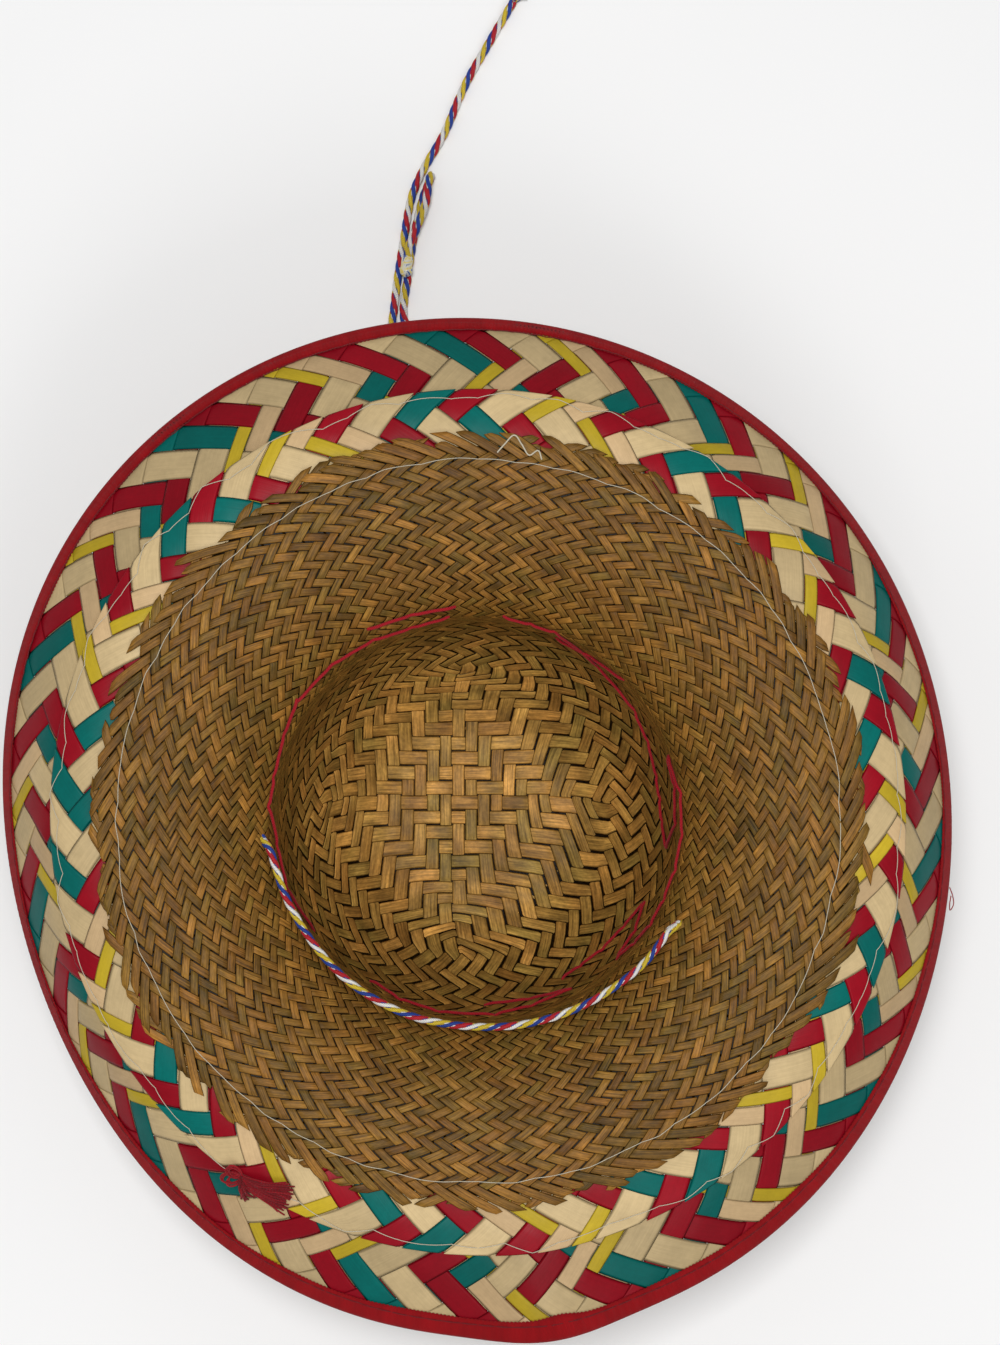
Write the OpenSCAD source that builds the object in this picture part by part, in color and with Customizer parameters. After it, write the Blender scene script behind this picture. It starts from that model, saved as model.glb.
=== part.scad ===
/* [Crown] */
// Radius of the opening where the wall stands upright
opening_r = 102; // [85:1:115]
// Radius of the flat tip that the crown rests on
tip_r = 46; // [30:1:60]
// Height from the tip's inner face to the upright part of the wall
wall_h = 123; // [80:1:160]
// Rise of the rounded lip above the upright part of the wall
lip_h = 37; // [20:1:60]
// Thickness of the woven palm
weave_t = 2; // [1:0.5:4]

/* [Brim] */
// Radius where the lip has turned into the level brim
level_r = 174; // [150:1:200]
// Width of the level strip between the lip and the ragged edge of the weave
level_w = 14; // [10:1:24]
// Distance from the ragged edge to the fold of the inner braid
fold_s = 27.5; // [24:0.5:40]
// Distance from the ragged edge to the end of the outer braid
braid_end_s = 67.5; // [55:0.5:90]
// How far the inner braid runs under the weave
under_weave = 12; // [6:1:14]
// How far the outer braid runs under the inner braid
under_braid = 10; // [8:1:16]
// Thickness of one braid
braid_t = 1.5; // [0.8:0.1:3]

/* [Droop] */
// Mean downward lean of the rim in degrees
droop_mean = 38; // [20:1:55]
// Extra lean on the left and right sides in degrees
droop_sides = 14; // [0:1:20]
// Twist of that lean towards the diagonals in degrees
droop_twist = 7; // [-10:1:10]
// Difference in lean between the far and the near edge in degrees
droop_tilt = 2; // [-10:1:10]
// Three-lobed waviness of the rim in degrees
droop_wave = 4; // [0:0.5:8]
// Lift of the rim where the binding's ends overlap in degrees
overlap_lift = 14; // [0:1:20]
// Length over which the brim bends from level to its full lean
droop_run = 40; // [25:1:50]

/* [Binding] */
// Width of the folded edge tape on each face of the brim
tape_w = 9; // [7:0.5:16]
// Thickness of the tape
tape_t = 0.8; // [0.5:0.1:1.5]

/* [Threads] */
// Width of the white sewing thread
thread_w = 0.8; // [0.5:0.1:1.2]
// Height of the white sewing thread
thread_h = 0.5; // [0.3:0.1:0.8]
// Distance from the ragged edge back to the seam that holds it to the inner braid
seam_in = 7; // [5:0.5:9]
// Thickness of the red yarn
yarn_d = 1.6; // [1:0.1:2.5]

/* [Chin cord] */
// Diameter of the braided chin cord
cord_d = 5; // [4:0.5:6]
// Clearance between the cord and its hole, on the diameter
cord_gap = 1; // [0.5:0.1:2]

/* [Hidden] */

// Angular steps: the exact body, and the rings of the brim's pieces
$fn = 180;
brim_n = 90;
step_a = 360 / brim_n;
wall_steps = 16;
lip_steps = 14;

palm = [0.62, 0.47, 0.25];
palm_pale = [0.86, 0.77, 0.58];
palm_dyed = [0.72, 0.1, 0.18];
tape_red = [0.62, 0.06, 0.1];
thread_white = [0.92, 0.9, 0.86];
yarn_red = [0.7, 0.05, 0.1];
cord_blue = [0.15, 0.25, 0.6];
cord_yellow = [0.9, 0.8, 0.3];

// Radii of the ragged edge of the weave and of its seam
ragged_r = level_r + level_w;
seam_r = ragged_r - seam_in;

// Heights on the head's side of the weave
tip_z = weave_t;
wall_z = tip_z + wall_h;
brim_z = wall_z + lip_h;

// Crown meridian: a quarter ellipse from the tip up to the opening, then one
// that turns outwards into the level brim. Each entry is [r, z, normal r, normal z].
function unit2(v) = v / norm(v);
function on_wall(t) = let(
    a = opening_r - tip_r,
    n = unit2([-wall_h * sin(t), a * cos(t)])
  ) [tip_r + a * sin(t), wall_z - wall_h * cos(t), n[0], n[1]];
function on_lip(t) = let(
    a = level_r - opening_r,
    n = unit2([-lip_h * cos(t), a * sin(t)])
  ) [level_r - a * cos(t), wall_z + lip_h * sin(t), n[0], n[1]];
meridian = concat(
  [for (i = [0:wall_steps]) on_wall(90 * i / wall_steps)],
  [for (i = [1:lip_steps]) on_lip(90 * i / lip_steps)]
);
function off_meridian(m, d) = [m[0] + m[2] * d, m[1] + m[3] * d];

// Lean of the rim at angle a: level parts, waves and the tape's overlap
overlap_a = 278;
overlap_spread = 7;
function lean(a) = droop_mean + droop_sides * cos(2 * a) + droop_twist * sin(2 * a)
  + droop_tilt * sin(a) - droop_wave * sin(3 * a)
  - overlap_lift * exp(-pow((a - overlap_a) / overlap_spread, 2));

// Point of the brim at angle a, distance s beyond the ragged edge, d above the
// head's side of the weave. The brim bends along an arc, then runs straight.
function brim_point(a, s, d) = let(
    full = lean(a),
    bent = max(0, min(s, droop_run)),
    here = full * bent / droop_run,
    bend_r = droop_run / (full * PI / 180),
    r = ragged_r + min(s, 0) + bend_r * sin(here) + max(0, s - droop_run) * cos(full),
    z = brim_z - bend_r * (1 - cos(here)) - max(0, s - droop_run) * sin(full),
    out = r + d * sin(here)
  ) [out * cos(a), out * sin(a), z + d * cos(here)];

// A band swept round the brim: section is a closed list of [s, d], counter to
// the way the angle runs, over the steps first..last
module brim_band(section, first = 0, last = brim_n) {
  m = len(section);
  closed = last - first == brim_n;
  rings = closed ? brim_n : last - first + 1;
  points = [for (i = [0:rings - 1]) for (q = section) brim_point((first + i) * step_a, q[0], q[1])];
  spans = closed ? rings : rings - 1;
  sides = [for (i = [0:spans - 1]) for (j = [0:m - 1]) let(
      k = (i + 1) % rings, l = (j + 1) % m,
      a = i * m + j, b = k * m + j, c = k * m + l, e = i * m + l,
      // both faces of a layer split along the same diagonal
      up = section[j][0] <= section[l][0]
    ) each (up ? [[a, b, c], [a, c, e]] : [[a, b, e], [b, c, e]])];
  ends = closed ? [] : [
    [for (j = [0:m - 1]) j],
    [for (j = [m - 1:-1:0]) (rings - 1) * m + j]
  ];
  polyhedron(points = points, faces = concat(sides, ends));
}

// Closed section of a layer that spans the stations s between two depths
function layer(s, top, bottom) = concat(
  [for (q = s) [q, top]],
  [for (i = [len(s) - 1:-1:0]) [s[i], bottom]]
);

// Depths of the brim's layers below the head's side of the weave
inner_top = -weave_t;
inner_bottom = inner_top - braid_t;
outer_top = inner_bottom;
outer_bottom = outer_top - braid_t;
// The seam that joins the two braids lies just inside the fold
fold_seam_s = fold_s - 5;
outer_start_s = fold_s - under_braid;
tape_start_s = braid_end_s - tape_w / 2;
tape_end_s = braid_end_s + tape_w / 2;
tape_round = 0.6;
stitch_s = tape_start_s + 1;

shared_s = [outer_start_s, fold_seam_s, fold_seam_s + thread_w, fold_s];
inner_s = concat([-under_weave, 0, 0.2 * fold_s, 0.4 * fold_s], shared_s);
outer_s = concat(shared_s, [
  fold_s + (droop_run - fold_s) / 2, droop_run, (droop_run + tape_start_s) / 2,
  tape_start_s, braid_end_s
]);

// Slanting holes for the chin cord in the lip: [angle, place on the lip, turn],
// where turn is the side to which the cord leans as it comes inside
hole_left = [185, 22, 1];
hole_right = [-27.5, 30, -1];
hole_slant = 40;
hole_reach = 6;

module cord_hole(hole) {
  a = hole[0];
  lip = on_lip(hole[1]);
  inward = [lip[2] * cos(a), lip[2] * sin(a), lip[3]];
  around = [-sin(a), cos(a), 0] * hole[2];
  axis = cos(hole_slant) * around + sin(hole_slant) * inward;
  middle = off_meridian(lip, -weave_t / 2);
  translate([middle[0] * cos(a), middle[0] * sin(a), middle[1]])
  rotate([0, acos(axis[2]), atan2(axis[1], axis[0])])
  cylinder(h = 2 * (hole_reach + cord_d), d = cord_d + cord_gap, center = true, $fn = 48);
}

module woven_body() {
  color(palm)
  difference() {
    rotate_extrude()
    polygon(concat(
      [[0, tip_z]],
      [for (m = meridian) off_meridian(m, 0)],
      [[ragged_r, brim_z], [ragged_r, brim_z - weave_t]],
      [for (i = [len(meridian) - 1:-1:0]) off_meridian(meridian[i], -weave_t)],
      [[0, 0]]
    ));
    cord_hole(hole_left);
    cord_hole(hole_right);
  }
}

module inner_braid() {
  color(palm_pale) brim_band(layer(inner_s, inner_top, inner_bottom));
}

module outer_braid() {
  color(palm_dyed) brim_band(layer(outer_s, outer_top, outer_bottom));
}

// The tape folds over the outer braid's end, in a U with a rounded outer edge
module edge_binding() {
  top = outer_top + tape_t;
  bottom = outer_bottom - tape_t;
  color(tape_red) brim_band([
    [tape_start_s, outer_top],
    [tape_start_s, top],
    [stitch_s, top],
    [stitch_s + thread_w, top],
    [tape_end_s - 2 * tape_round, top],
    [tape_end_s, top - tape_round],
    [tape_end_s + tape_round, (top + bottom) / 2],
    [tape_end_s, bottom + tape_round],
    [tape_end_s - 2 * tape_round, bottom],
    [tape_start_s, bottom],
    [tape_start_s, outer_bottom],
    [braid_end_s, outer_bottom],
    [braid_end_s, outer_top]
  ]);
}

module binding_stitching() {
  top = outer_top + tape_t;
  color(tape_red) brim_band(layer([stitch_s, stitch_s + thread_w], top + thread_h, top));
}

module braid_seam_thread() {
  color(thread_white)
  brim_band(layer([fold_seam_s, fold_seam_s + thread_w], inner_top + thread_h, inner_top));
}

// A flat thread on the level brim, from angle a over the angle turn
module level_thread(r, a, turn) {
  rotate([0, 0, a])
  rotate_extrude(angle = turn)
  translate([r, brim_z])
  square([thread_w, thread_h]);
}

module body_seam_thread() {
  color(thread_white) level_thread(seam_r, 0, 360);
}

module loose_seam_thread() {
  color(thread_white) level_thread(seam_r + 3 * thread_w, 80, 7);
}

// One run of yarn along facet f of the wall's meridian, from share u of it
module yarn_run(f, u, a, turn, face) {
  low = off_meridian(meridian[f], face);
  high = off_meridian(meridian[f + 1], face);
  along = unit2(high - low);
  side = face == 0 ? 1 : -1;
  out = [-along[1], along[0]] * side * yarn_d;
  start = low + (high - low) * u;
  end = start + along * yarn_d;
  rotate([0, 0, a])
  rotate_extrude(angle = turn)
  polygon([start, end, end + out, start + out]);
}

// Runs of the yarn round the base of the crown: [facet, share, angle, turn]
yarn_inside = [
  [15, 0.2, 36, 31], [14, 0.5, 45, 38], [15, 0.6, 97, 23], [15, 0.2, 98, 48],
  [16, 0.4, 146, 22], [14, 0.6, 168, 46], [12, 0.5, 236, 62], [10, 0.5, 273, 25],
  [12, 0.5, 299, 35], [13, 0.3, 315, 60], [11, 0.5, 352, 42]
];
yarn_outside = [
  [13, 0.5, 20, 16], [13, 0.5, 84, 13], [13, 0.5, 130, 16],
  [13, 0.5, 214, 22], [13, 0.5, 285, 14], [13, 0.5, 334, 18]
];

module crown_yarn_inside() {
  color(yarn_red) for (y = yarn_inside) yarn_run(y[0], y[1], y[2], y[3], 0);
}

module crown_yarn_outside() {
  color(yarn_red) for (y = yarn_outside) yarn_run(y[0], y[1], y[2], y[3], -weave_t);
}

// A knot of yarn between the fold and its seam
module yarn_tuft() {
  knot_h = 6;
  base_s = [fold_seam_s + thread_w, fold_s];
  color(yarn_red) brim_band(layer(base_s, inner_top + knot_h, inner_top), 58, 60);
}

// A short end of thread that stands out of the binding
module rim_thread_end() {
  top = outer_top + tape_t;
  bottom = outer_bottom - tape_t;
  curl = 2;
  color(yarn_red) brim_band([
    [tape_end_s, top - tape_round],
    [tape_end_s + curl, top - tape_round + curl / 2],
    [tape_end_s + tape_round + curl, (top + bottom) / 2],
    [tape_end_s + tape_round, (top + bottom) / 2]
  ], 87, 88);
}

// The one chin cord, in three stretches that meet in its two holes. It lies on
// the lip inside the crown, and outside it drops to the surface on both sides.
cord_inside = [
  [-107.6, -9.4, 138.2], [-104.2, -13.7, 140.6], [-101, -23.5, 140], [-96.5, -37, 138.5],
  [-88, -53, 138], [-77.5, -67.5, 138], [-65, -80, 138], [-50, -90, 138],
  [-33.5, -97.5, 138], [-16, -101.5, 138], [2, -103, 138.5], [20, -102, 139.5],
  [37.5, -98, 141], [54.5, -91, 142.5], [70.5, -81, 144], [83.5, -70, 145.5],
  [90.5, -61, 146.5], [95.2, -54.8, 145.7], [99.6, -51.9, 142.8]
];
cord_tail = [
  [-107.6, -9.4, 138.2], [-111, -5.1, 135.8], [-115, 0, 130], [-117, 5, 116],
  [-117, 9, 95], [-116, 14, 73], [-115.5, 20, 51], [-114.5, 27, 30],
  [-113, 37, 13], [-110, 51, 4], [-105, 68, 2.6], [-98, 89, 2.6],
  [-91, 112, 2.6], [-84, 135, 2.6], [-77, 158, 2.6], [-70, 181, 2.6],
  [-63, 204, 2.6], [-56.5, 227, 2.6], [-51, 250, 2.6], [-46.5, 270, 2.6],
  [-43.5, 293, 2.6], [-40, 315, 2.6], [-36, 337, 2.6], [-30, 351.5, 2.6],
  [-18.5, 371.5, 2.6], [-7, 398, 2.6], [6, 421, 2.6], [19, 443, 2.6]
];
cord_return = [
  [99.6, -51.9, 142.8], [104, -49, 139.9], [110, -44.5, 134], [114.5, -39, 119],
  [116.5, -32, 96], [117, -24, 72], [116.5, -14.5, 48], [115, -3, 26],
  [112, 13, 9], [107, 31, 2.8], [99, 52, 2.6], [88, 74, 2.6],
  [75, 95, 2.6], [60, 116, 2.6], [44, 138, 2.6], [28, 160, 2.6],
  [12, 182, 2.6], [-4, 205, 2.6], [-19, 228, 2.6], [-31, 250, 2.6],
  [-40, 272, 2.6], [-38, 294, 2.6], [-34.5, 317, 2.6], [-29.4, 338, 2.6],
  [-26.5, 345.5, 2.6], [-25.8, 347.6, 3.4], [-25.4, 348.4, 5.3], [-25.8, 347.6, 7.2],
  [-26.6, 345, 8], [-28, 334, 8], [-33, 320, 8], [-37.5, 309, 8.2],
  [-38, 302, 8.6]
];
cord_sides = 8;

function heading(route, i) = unit2(
  route[min(i + 1, len(route) - 1)] - route[max(i - 1, 0)]
);
// Side vectors carried along the route without twisting
function carried(route, i, side) = let(
    t = heading(route, i),
    s = unit2(side - (side * t) * t)
  ) concat([s], i < len(route) - 1 ? carried(route, i + 1, s) : []);

module cord_tube(route) {
  r = cord_d / 2;
  first = heading(route, 0);
  sides = carried(route, 0, cross(first, [0, 0.1, 1]));
  last = len(route) - 1;
  points = [for (i = [0:last]) for (k = [0:cord_sides - 1]) let(
      up = cross(heading(route, i), sides[i]),
      a = 360 * (k + 0.5) / cord_sides
    ) route[i] + r * (cos(a) * sides[i] + sin(a) * up)];
  walls = [for (i = [0:last - 1]) for (k = [0:cord_sides - 1]) let(
      l = (k + 1) % cord_sides,
      a = i * cord_sides + k, b = i * cord_sides + l,
      c = b + cord_sides, d = a + cord_sides
    ) each [[a, c, b], [a, d, c]]];
  ends = [
    [for (k = [0:cord_sides - 1]) k],
    [for (k = [cord_sides - 1:-1:0]) last * cord_sides + k]
  ];
  polyhedron(points = points, faces = concat(walls, ends));
}

module chin_cord_inside() {
  color(cord_blue) cord_tube(cord_inside);
}

module chin_cord_tail() {
  color(cord_yellow) cord_tube(cord_tail);
}

module chin_cord_return() {
  color(cord_blue) cord_tube(cord_return);
}

// The melted blob that stops the cord's end from fraying
module cord_fused_end() {
  blob_r = 3.1;
  blob_l = 12;
  tip = cord_return[len(cord_return) - 1];
  along = heading(cord_return, len(cord_return) - 1);
  color(thread_white)
  translate(tip)
  rotate([0, acos(along[2]), atan2(along[1], along[0])])
  rotate_extrude($fn = 32)
  polygon([
    [0, 0], [cord_d / 2, 0], [blob_r, blob_l / 4], [blob_r, 3 * blob_l / 4],
    [blob_r / 2, blob_l], [0, blob_l]
  ]);
}

woven_body();
inner_braid();
outer_braid();
edge_binding();
binding_stitching();
body_seam_thread();
braid_seam_thread();
loose_seam_thread();
crown_yarn_inside();
crown_yarn_outside();
yarn_tuft();
rim_thread_end();
chin_cord_inside();
chin_cord_tail();
chin_cord_return();
cord_fused_end();
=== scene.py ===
# %% [markdown]
# # A wide-brimmed woven palm hat, lying on its crown
# The hat lies crown down, so the camera looks into it. Its body is one continuous twill of palm
# strips, its brim ends in two plaits of dyed strips and a red tape, and a round braided cord
# crosses the inside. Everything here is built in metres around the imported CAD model, whose
# boxes say where each piece goes.

# %% Load the frame
import bpy
import numpy as np
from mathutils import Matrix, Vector


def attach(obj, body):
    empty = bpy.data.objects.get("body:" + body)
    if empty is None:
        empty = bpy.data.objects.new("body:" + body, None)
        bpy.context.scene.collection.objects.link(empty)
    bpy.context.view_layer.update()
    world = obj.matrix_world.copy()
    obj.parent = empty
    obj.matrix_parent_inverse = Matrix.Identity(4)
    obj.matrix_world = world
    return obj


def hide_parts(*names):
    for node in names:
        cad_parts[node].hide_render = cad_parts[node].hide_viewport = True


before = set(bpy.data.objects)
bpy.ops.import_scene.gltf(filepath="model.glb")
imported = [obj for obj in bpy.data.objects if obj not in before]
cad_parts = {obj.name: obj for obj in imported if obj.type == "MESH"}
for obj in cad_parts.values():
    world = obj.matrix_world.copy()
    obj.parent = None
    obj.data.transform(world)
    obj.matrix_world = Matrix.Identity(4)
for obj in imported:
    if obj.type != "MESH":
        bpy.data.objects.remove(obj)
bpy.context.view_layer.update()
mm = 0.001
rng = np.random.default_rng(7)

# %% [markdown]
# ## Camera
# The camera is made first. It hangs straight above the hat with a long lens; a small shift
# keeps it level and puts the hat in the frame.

# %% Camera
lens = bpy.data.cameras.new("camera")
lens.lens = 88.93
lens.sensor_width = 36
lens.sensor_fit = "AUTO"
lens.shift_x = 0.01636
lens.shift_y = 0.1104
lens.clip_end = 20
camera = bpy.data.objects.new("camera", lens)
camera.location = (0, 0, 1.8)
bpy.context.scene.collection.objects.link(camera)
bpy.context.scene.camera = camera
bpy.context.scene.view_settings.view_transform = "Standard"
print("camera at", tuple(camera.location))

# %% [markdown]
# ## From arrays to pieces
# Two builders make nearly everything: flat strips, such as palm, and round yarns. Both take
# whole arrays of places, one row per strip, so nothing is modelled strip by strip by hand.
# A third step puts the arrays in a mesh with its UV map and its colour attributes.

# %% Flat strips
def unit(vectors):
    """Each vector divided by its length."""
    return vectors / np.maximum(np.linalg.norm(vectors, axis=-1, keepdims=True), 1e-12)


def eased(share):
    """Nought up to nought, one from one on, and a smooth step between."""
    t = np.clip(share, 0, 1)
    return t * t * (3 - 2 * t)


def travelled(centre):
    """Distance along each row of points, starting at nought."""
    steps = np.linalg.norm(np.diff(centre, axis=1), axis=-1)
    return np.concatenate([np.zeros((len(centre), 1)), np.cumsum(steps, axis=1)], axis=1)


def spread(values, rows, stations):
    """Values given per row, or per row and station, as one value for every station."""
    values = np.asarray(values, float)
    if values.ndim == 0:
        values = np.full(rows, float(values))
    if values.ndim == 1:
        values = values[:, None]
    return np.broadcast_to(values, (rows, stations))


def strips(left, right, normal, thick, dye, own):
    """Strips between two edge lines. Each section has six corners: the two edges, and two
    corners an eighth of the width in from each edge, half the thickness above and below."""
    rows, stations, _ = left.shape
    centre = (left + right) / 2
    heading = np.gradient(centre, axis=1)
    turned = (np.cross(heading, normal) * (right - left)).sum(axis=(1, 2)) < 0
    left, right = (
        np.where(turned[:, None, None], right, left),
        np.where(turned[:, None, None], left, right),
    )
    lift = normal * spread(thick, rows, stations)[..., None] / 2
    inner_l = left * 0.875 + right * 0.125
    inner_r = left * 0.125 + right * 0.875
    ring = np.stack(
        [left, inner_l + lift, inner_r + lift, right, inner_r - lift, inner_l - lift], axis=2
    )
    place = np.arange(rows * stations * 6).reshape(rows, stations, 6)
    after = np.roll(place, -1, axis=2)
    walls = np.stack([place[:, :-1], after[:, :-1], after[:, 1:], place[:, 1:]], axis=-1)
    first, last = place[:, 0], place[:, -1]
    caps = [first[:, [3, 2, 1, 0]], first[:, [5, 4, 3, 0]], last[:, [0, 1, 2, 3]]]
    caps.append(last[:, [0, 3, 4, 5]])
    across = np.broadcast_to([0, 0.125, 0.875, 1, 0.875, 0.125], (rows, stations, 6))
    along = np.broadcast_to(travelled(centre)[..., None], (rows, stations, 6))
    return {
        "points": ring.reshape(-1, 3),
        "quads": np.concatenate([walls.reshape(-1, 4)] + caps),
        "tris": np.zeros((0, 3), int),
        "uv": np.stack([across, along], axis=-1).reshape(-1, 2),
        "dye": np.repeat(np.broadcast_to(dye, (rows, stations, 3)), 6, axis=1).reshape(-1, 3),
        "own": np.repeat(spread(own, rows, stations), 6, axis=1).ravel(),
    }


# %% [markdown]
# A yarn is an ellipse carried along a line. The direction called outward says which way its
# flat side looks, so a strand of a braid can lie flat on the cord.

# %% Round yarns
def yarns(centre, outward, wide, high, dye, own, sides):
    """Tubes of elliptic section: centre + side·wide·cos - out·high·sin, with a point closing
    each end."""
    rows, stations, _ = centre.shape
    heading = unit(np.gradient(centre, axis=1))
    side = unit(np.cross(heading, outward))
    out = np.cross(side, heading)
    turn = np.linspace(0, 2 * np.pi, sides, endpoint=False)[:, None]
    wide = spread(wide, rows, stations)[:, :, None, None]
    high = spread(high, rows, stations)[:, :, None, None]
    ring = centre[:, :, None] + side[:, :, None] * wide * np.cos(turn)
    ring = ring - out[:, :, None] * high * np.sin(turn)
    place = np.arange(rows * stations * sides).reshape(rows, stations, sides)
    after = np.roll(place, -1, axis=2)
    walls = np.stack([place[:, :-1], after[:, :-1], after[:, 1:], place[:, 1:]], axis=-1)
    poles = np.stack(
        [
            centre[:, 0] - heading[:, 0] * high[:, 0, 0] * 0.6,
            centre[:, -1] + heading[:, -1] * high[:, -1, 0] * 0.6,
        ],
        axis=1,
    )
    pole = rows * stations * sides + np.arange(rows * 2).reshape(rows, 2)
    start = np.broadcast_to(pole[:, :1], (rows, sides))
    end = np.broadcast_to(pole[:, 1:], (rows, sides))
    tips = [
        np.stack([start, after[:, 0], place[:, 0]], axis=-1),
        np.stack([place[:, -1], after[:, -1], end], axis=-1),
    ]
    far = travelled(centre)
    around = np.broadcast_to(np.abs(np.linspace(-1, 1, sides + 1)[:-1]), ring.shape[:3])
    along = np.broadcast_to(far[..., None], ring.shape[:3])
    uv = np.stack([around, along], axis=-1).reshape(-1, 2)
    pole_uv = np.stack([np.full(rows * 2, 0.5), far[:, [0, -1]].ravel()], axis=-1)
    dye = np.broadcast_to(dye, (rows, stations, 3))
    own = spread(own, rows, stations)
    return {
        "points": np.concatenate([ring.reshape(-1, 3), poles.reshape(-1, 3)]),
        "quads": walls.reshape(-1, 4),
        "tris": np.concatenate(tips).reshape(-1, 3),
        "uv": np.concatenate([uv, pole_uv]),
        "dye": np.concatenate(
            [np.repeat(dye, sides, axis=1).reshape(-1, 3), dye[:, [0, -1]].reshape(-1, 3)]
        ),
        "own": np.concatenate([np.repeat(own, sides, axis=1).ravel(), own[:, [0, -1]].ravel()]),
    }


# %% [markdown]
# A piece may hold many strips, so their arrays are joined before they go in one mesh. Every
# piece rides on the only body and hides the CAD nodes that it stands for.

# %% Put arrays in a mesh
def add_piece(name, parts, finish, slot, *nodes):
    """One object at the origin from arrays: points, faces, UV, dye and own are joined, with
    each part's face numbers moved on by the points before it."""
    starts = np.cumsum([0] + [len(p["points"]) for p in parts])
    points = np.concatenate([p["points"] for p in parts])
    quads = np.concatenate([p["quads"] + s for p, s in zip(parts, starts)])
    tris = np.concatenate([p["tris"] + s for p, s in zip(parts, starts)])
    mesh = bpy.data.meshes.new(name)
    mesh.from_pydata(points.tolist(), [], quads.tolist() + tris.tolist())
    mesh.polygons.foreach_set("use_smooth", np.ones(len(mesh.polygons), bool))
    corner = np.zeros(len(mesh.loops), np.int32)
    mesh.loops.foreach_get("vertex_index", corner)
    uv = np.concatenate([p["uv"] for p in parts])
    mesh.uv_layers.new(name="UVMap").data.foreach_set("uv", uv[corner].astype(np.float32).ravel())
    dye = np.concatenate([p["dye"] for p in parts])
    dye = np.concatenate([dye, np.ones((len(dye), 1))], axis=1)
    layer = mesh.attributes.new("dye", "FLOAT_COLOR", "POINT")
    layer.data.foreach_set("color", dye.astype(np.float32).ravel())
    own = np.concatenate([p["own"] for p in parts])
    mesh.attributes.new("own", "FLOAT", "POINT").data.foreach_set("value", own.astype(np.float32))
    mesh.update()
    piece = bpy.data.objects.new(name, mesh)
    bpy.context.scene.collection.objects.link(piece)
    mesh.materials.append(finish)
    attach(piece, "root")
    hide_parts(*nodes)
    print(f"{name}: {len(points)} points, {2 * len(quads) + len(tris)} triangles")
    return piece


def srgb(*rgb):
    """A colour given as eight-bit values, in linear light."""
    c = np.array(rgb, float) / 255
    return np.where(c <= 0.04045, c / 12.92, ((c + 0.055) / 1.055) ** 2.4)


# %% [markdown]
# ## Finishes
# Each finish is a small node tree on the Principled shader. The colour comes from the piece's
# own "dye" attribute, so one palm finish serves natural and dyed strips. Streaks follow the
# strip, because they read its UV map: across from nought to one, and along in metres.

# %% Node helpers
def new_finish(name, **sockets):
    """A material whose uniform values sit on the shader's own sockets."""
    material = bpy.data.materials.new(name)
    material.use_nodes = True
    shader = material.node_tree.nodes["Principled BSDF"]
    for socket, value in sockets.items():
        shader.inputs[socket.replace("_", " ")].default_value = value
    return material, material.node_tree, shader


def add(tree, kind, inputs=None, **settings):
    """A node with its settings; an input is either a number or the socket that feeds it."""
    node = tree.nodes.new("ShaderNode" + kind)
    for key, value in settings.items():
        setattr(node, key, value)
    for key, value in (inputs or {}).items():
        if isinstance(value, bpy.types.NodeSocket):
            tree.links.new(value, node.inputs[key])
        else:
            node.inputs[key].default_value = value
    return node


def scaled(tree, value, low, high, new_low, new_high):
    """A value moved from one range to another, kept within the new one."""
    numbers = {0: value, 1: low, 2: high, 3: new_low, 4: new_high}
    return add(tree, "MapRange", numbers).outputs[0]


def times(tree, a, b):
    """Two values multiplied."""
    return add(tree, "Math", {0: a, 1: b}, operation="MULTIPLY").outputs[0]


def tinted(tree, colour, strength):
    """A colour multiplied by a grey strength."""
    grey = add(tree, "CombineColor", {0: strength, 1: strength, 2: strength}).outputs[0]
    mixed = add(tree, "Mix", data_type="RGBA", blend_type="MULTIPLY")
    mixed.inputs[0].default_value = 1
    tree.links.new(colour, mixed.inputs[6])
    tree.links.new(grey, mixed.inputs[7])
    return mixed.outputs[2]


def streaks(tree, across, along, detail=3.0):
    """Noise stretched along the strip: many lines across it, few changes along it. Each strip
    has its own number, the noise's fourth coordinate, so no two look alike."""
    uv = add(tree, "UVMap", uv_map="UVMap").outputs[0]
    place = add(tree, "Mapping", {"Vector": uv, "Scale": (across, along, 1)}).outputs[0]
    own = add(tree, "Attribute", attribute_name="own").outputs["Fac"]
    numbers = {"Vector": place, "W": times(tree, own, 37.0), "Scale": 1.0, "Detail": detail}
    return add(tree, "TexNoise", numbers, noise_dimensions="4D").outputs[0]


def coloured(tree, shader, tone, height, strength, distance):
    """The piece's dye times a tone as the shader's colour, and bump from a height."""
    dye = add(tree, "Attribute", attribute_name="dye").outputs["Color"]
    tree.links.new(tinted(tree, dye, tone), shader.inputs["Base Color"])
    bump = add(tree, "Bump", {"Height": height, "Strength": strength, "Distance": distance})
    tree.links.new(bump.outputs[0], shader.inputs["Normal"])
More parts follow.
